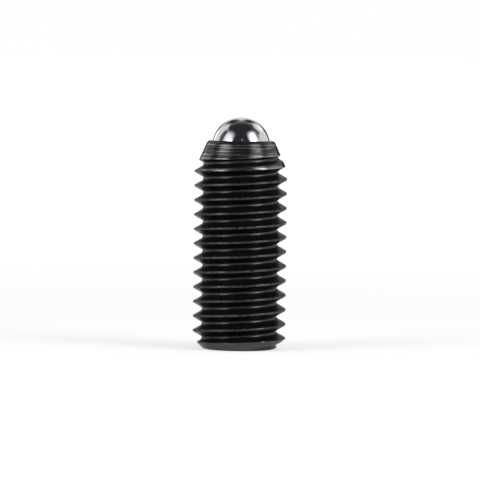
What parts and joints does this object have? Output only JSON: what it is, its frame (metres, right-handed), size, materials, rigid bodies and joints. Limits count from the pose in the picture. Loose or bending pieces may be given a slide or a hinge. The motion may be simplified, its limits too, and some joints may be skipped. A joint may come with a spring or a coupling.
{
  "type": "spring plunger",
  "caption": "Threaded ball spring plunger: steel ball pressed out of a black screw body by a coil spring, with a hexagon socket in the foot.",
  "frame": {"origin": "middle of the flat foot, where the plunger's axis meets it", "axes": "+Z along the plunger's axis, out through the ball; X runs through two corners of the hexagon socket"},
  "size_m": [0.008, 0.008, 0.02],
  "materials": {
    "black_oxide_steel": "turned steel, black oxide, oiled",
    "spring_wire": "drawn spring steel wire, ends ground flat",
    "polished_ball_steel": "hardened bearing steel, mirror polished"
  },
  "bodies": {
    "housing": {"threaded_body": "black_oxide_steel", "spring": "spring_wire"},
    "ball": {"ball": "polished_ball_steel"}
  },
  "joints": [
    {"name": "ball_press", "type": "slide", "parent": "housing", "child": "ball", "axis": [0, 0, -1], "range_m": [0, 0.0015], "stiffness_N_per_m": 9200, "springref_m": -0.0019, "deforming": ["spring"]}
  ]
}
